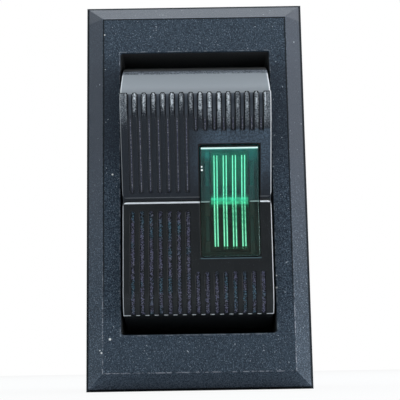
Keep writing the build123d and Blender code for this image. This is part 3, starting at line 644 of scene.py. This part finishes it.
# Window
def lens_plastic():
    """Dark green transparent plastic with painted highlights and a painted glow on its edges, painted shade
    on its ends and upper flanks, and black legs with a painted glow.
    """
    tree = Paint("lens_plastic")
    at = RockerPlace(tree)
    across = tree.minus(at.across, window_x)
    upper = tree.span(at.up, -0.1, 0.1)

    # Painted shade: black strips at the lens's ends and on its upper flanks
    side = tree.span(at.window_aside, lens_half - 0.11, lens_half - 0.07)
    black = tree.most(
        tree.span(at.up, lens_end - 0.22, lens_end - 0.18),
        tree.times(side, upper),
        tree.fade(at.up, 0.03 - lens_end, 0.06 - lens_end),
    )

    # Painted highlights on edges: the top, which also glows, the crease over the valley and the lower right
    # flank
    top = tree.times(tree.span(at.up, lens_end - 0.38, lens_end - 0.32), tree.inverse(black))
    crease = tree.strip(at.up, -0.16, -0.12, -0.02, 0.02)
    crease = tree.times(crease, tree.span(at.window_aside, 2.10, 2.30), 0.6)
    flank = tree.times(tree.span(across, lens_half - 0.11, lens_half - 0.07), tree.inverse(upper), 0.22)
    bright = tree.most(top, crease, flank)

    # Dust in front, made to glow as painted light; a hidden border that rests on the mask, painted with the
    # window's painted light, and the legs, black with a painted glow, behind
    dust = tree.times(tree.spots(across, at.up, lens_specks), tree.span(at.height, 0.20, 0.25))
    leg = tree.fade(at.height, -0.50, -0.46)
    border = tree.most(
        tree.span(at.window_aside, slots_half, slots_half + 0.04),
        tree.span(at.far, slots_end, slots_end + 0.04),
    )
    border = tree.times(tree.fade(at.height, -0.36, -0.34), border)

    colour = tree.mix(upper, rgb(0.333, 0.62, 0.54), rgb(0.16, 0.66, 0.60))
    colour = tree.mix(bright, colour, rgb(0.80, 0.95, 0.92))
    colour = tree.mix(border, colour, window_painted_light(tree, at.up))
    colour = tree.mix(leg, colour, rgb(0.002, 0.004, 0.004))
    colour = tree.mix(black, colour, rgb(0.002, 0.004, 0.004))
    tree.set(Base_Color=tree.mix(dust, colour, rgb(0.90, 0.92, 0.90)), IOR=1.5, Roughness=0.03)
    solid = tree.most(black, border, leg, tree.times(bright, 0.9), dust)
    tree.set(Specular_Tint=rgb(0.78, 1.0, 0.96), Transmission_Weight=tree.inverse(solid))
    # Painted glow: the top edge, the legs and the dust specks glow though the lens is no lamp
    glow = tree.mix(upper, rgb(0.012, 0.016, 0.014), rgb(0.001, 0.044, 0.042))
    glow = tree.mix(top, glow, rgb(0.315, 0.450, 0.405))
    glow = tree.mix(dust, glow, rgb(0.55, 0.58, 0.55))
    tree.set(Emission_Color=glow, Emission_Strength=tree.most(top, leg, dust))
    tree.set(Normal=tree.bump(tree.noise(1.5, 1), 0.001, tree.edges(0.10)))
    return tree.material


def guide_plastic():
    """Green plastic with a painted glow and a paler painted colour on four pairs of lines and a bar, standing
    in for the lamp's light.
    """
    tree = Paint("guide_plastic")
    across = tree.minus(tree.axis("X"), window_x)
    cell = tree.minus(tree.math("FRACT", tree.over(across, line_pitch)), 0.5)
    from_line = tree.size(tree.minus(tree.times(tree.size(cell), line_pitch), line_offset))
    line = tree.span(from_line, line_half_width * 0.7, line_half_width * 1.3, 1.0, 0.14)
    bar = tree.fade(tree.size(tilted(tree)[0]), 0.30, 0.60)
    hue = tree.mix(tree.span(line, 0.3, 0.7), rgb(0.05, 0.95, 0.45), rgb(0.50, 0.95, 0.68))
    hue = tree.mix(bar, hue, rgb(0.16, 0.95, 0.55))
    bar_glow = tree.times(bar, tree.span(tree.noise(0.5, 2), 0.35, 0.65, 0.28, 0.47))
    lit = tree.most(line, bar_glow)
    mottle = tree.span(tree.noise(0.4, 2), 0.3, 0.7, 0.9, 1.1)
    # Painted light: the lines and the bar are painted pale and glow
    tree.set(Base_Color=tree.mix(lit, rgb(0.01, 0.10, 0.07), rgb(0.20, 0.80, 0.55)), Roughness=0.35)
    tree.set(Emission_Color=hue, Emission_Strength=tree.times(lit, mottle, guide_glow))
    return tree.material


def mask_plastic():
    """Dark mask behind the lens in the window's painted light, with a painted green glow round the lit lines
    and beside the bar.
    """
    tree = Paint("mask_plastic")
    up = tilted(tree)[0]
    aside = tree.size(tree.minus(tree.axis("X"), window_x))
    # Painted glow: green round the lit lines and beside the bar
    lit = tree.times(tree.span(up, 0.2, 4.8), tree.span(up, 4.7, 5.3, 0.85, 0.35), tree.fade(aside, 1.8, 2.2))
    colour = tree.mix(lit, window_painted_light(tree, up), rgb(0.030, 0.560, 0.330))
    beside_bar = tree.span(tree.size(up), 0.35, 1.0, 0.7, 0.0)
    colour = tree.mix(beside_bar, colour, rgb(0.030, 0.500, 0.300))
    tree.set(Base_Color=colour, Roughness=0.6, Normal=tree.edges(0.10))
    return tree.material


# Plain plastics, metals and glass
def matte_plastic(name, dark, light, rough=0.55):
    """Plain moulded plastic in two close shades with a light grain."""
    tree = Paint(name)
    grain = tree.noise(0.25, 3, 0.6)
    base = tree.mix(tree.noise(3.0, 4, 0.6), rgb(*dark), rgb(*light))
    tree.set(Base_Color=base, Roughness=tree.span(grain, 0.3, 0.7, rough - 0.08, rough + 0.08))
    tree.set(Normal=tree.bump(grain, 0.01, tree.edges(0.10)))
    return tree.material


def metal(name, bright, dull, rough, stretch=(1, 1, 1)):
    """Rolled or drawn metal: streaks, tarnish patches and fine scratches."""
    tree = Paint(name)
    tarnish = tree.patches(1.6, 0.40, 0.70, 4, 0.65)
    streak = tree.noise(0.12, 3, 0.6, stretch)
    tree.set(Base_Color=tree.mix(tarnish, rgb(*bright), rgb(*dull)), Metallic=1.0)
    tree.set(Roughness=tree.span(streak, 0.3, 0.7, rough - 0.07, rough + 0.09))
    tree.set(Normal=tree.bump(streak, 0.003, tree.edges(0.06)))
    return tree.material


def lamp_glass():
    """Clear glass of the lamp."""
    tree = Paint("lamp_glass")
    tree.set(Base_Color=rgb(0.95, 1.0, 0.97), Roughness=0.03, Transmission_Weight=1.0, IOR=1.5)
    tree.set(Normal=tree.bump(tree.noise(1.2, 2), 0.004))
    return tree.material


# Stage
def make_floor():
    """A plain pale floor that the bezel's lower edge stands on."""
    half = 1.5
    corners = [(-half, -half), (half, -half), (half, half), (-half, half)]
    mesh = bpy.data.meshes.new("floor")
    mesh.from_pydata([(x, y, cad_box[0].z) for x, y in corners], [], [(0, 1, 2, 3)])
    floor = bpy.data.objects.new("floor", mesh)
    tree = Paint("floor_paint")
    tree.set(Base_Color=rgb(0.50, 0.52, 0.54), Roughness=0.8)
    glow = tree.nodes.new("ShaderNodeEmission").outputs[0]
    seen = tree.times(tree.seen_plainly(), 0.9)
    tree.links.new(tree.join(seen, tree.shader.outputs[0], glow), tree.output)
    mesh.materials.append(tree.material)
    bpy.context.scene.collection.objects.link(floor)


def make_world():
    """White to the camera; for the rest a white tent that is dim on the camera's side."""
    world = bpy.data.worlds.new("world")
    bpy.context.scene.world = world
    world.use_nodes = True
    tree = Tree(world.node_tree)
    tent = tree.nodes.new("ShaderNodeBackground")
    tent.inputs["Color"].default_value = rgb(0.88, 0.95, 1.0)
    away = tree.part(tree.places["Generated"], "Y")
    tree.links.new(tree.span(away, -0.10, 0.60, 0.24, 1.0), tent.inputs["Strength"])
    white = tree.nodes.new("ShaderNodeBackground")
    white.inputs["Color"].default_value = rgb(1.0, 1.0, 1.0)
    white.inputs["Strength"].default_value = 1.0
    output = tree.nodes.new("ShaderNodeOutputWorld")
    shown = tree.join(tree.seen_plainly(), tent.outputs[0], white.outputs[0])
    tree.links.new(shown, output.inputs["Surface"])


def make_light(name, place, aim, width, height, power, colour=(0.90, 0.96, 1.0)):
    """A soft rectangular lamp, sizes in metres and power in watts."""
    data = bpy.data.lights.new(name, "AREA")
    data.shape = "RECTANGLE"
    data.size = width
    data.size_y = height
    data.energy = power
    data.color = colour
    lamp = bpy.data.objects.new(name, data)
    lamp.location = place
    lamp.rotation_euler = (Vector(aim) - Vector(place)).to_track_quat("-Z", "Y").to_euler()
    bpy.context.scene.collection.objects.link(lamp)


make_camera()
make_world()
make_floor()
make_light("top_softbox", (0.03, 0.04, 0.45), (0.03, 0.04, 0), 0.95, 0.95, 4.9)
make_light("right_softbox", (0.45, -0.06, 0.05), (0, 0, 0), 0.20, 0.40, 1.95, (0.95, 0.96, 0.99))
make_light("left_softbox", (-0.45, -0.06, 0.05), (0, 0, 0), 0.20, 0.40, 0.28)

dress(bezel_plastic(), "bezel_housing")
dress(rocker_plastic(), "rocker")
dress(lens_plastic(), "indicator_lens")
dress(guide_plastic(), "light_guide")
dress(mask_plastic(), "light_mask")
dress(matte_plastic("base_plastic", (0.016, 0.016, 0.017), (0.026, 0.026, 0.027)), "terminal_base")
dress(matte_plastic("acetal", (0.66, 0.64, 0.60), (0.76, 0.75, 0.71), 0.4), "plunger")
dress(matte_plastic("holder_plastic", (0.50, 0.50, 0.48), (0.60, 0.60, 0.58)), "lamp_holder")
dress(metal("tinned_brass", (0.50, 0.45, 0.34), (0.36, 0.30, 0.20), 0.34, (4, 0.3, 1)),
      "common_terminal", "upper_throw_terminal", "lower_throw_terminal",
      "upper_lamp_terminal", "lower_lamp_terminal")
dress(metal("copper_strip", (0.86, 0.52, 0.32), (0.56, 0.31, 0.18), 0.30, (1, 1, 0.2)), "contact_arm")
dress(metal("contact_silver", (0.86, 0.85, 0.82), (0.55, 0.53, 0.50), 0.25),
      "upper_moving_contact", "lower_moving_contact", "upper_fixed_contact", "lower_fixed_contact")
dress(metal("spring_wire", (0.62, 0.62, 0.63), (0.42, 0.41, 0.40), 0.28), "plunger_spring")
dress(lamp_glass(), "lamp_bulb")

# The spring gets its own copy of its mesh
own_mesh(nodes["plunger_spring"])

bpy.context.scene.view_settings.view_transform = "Standard"
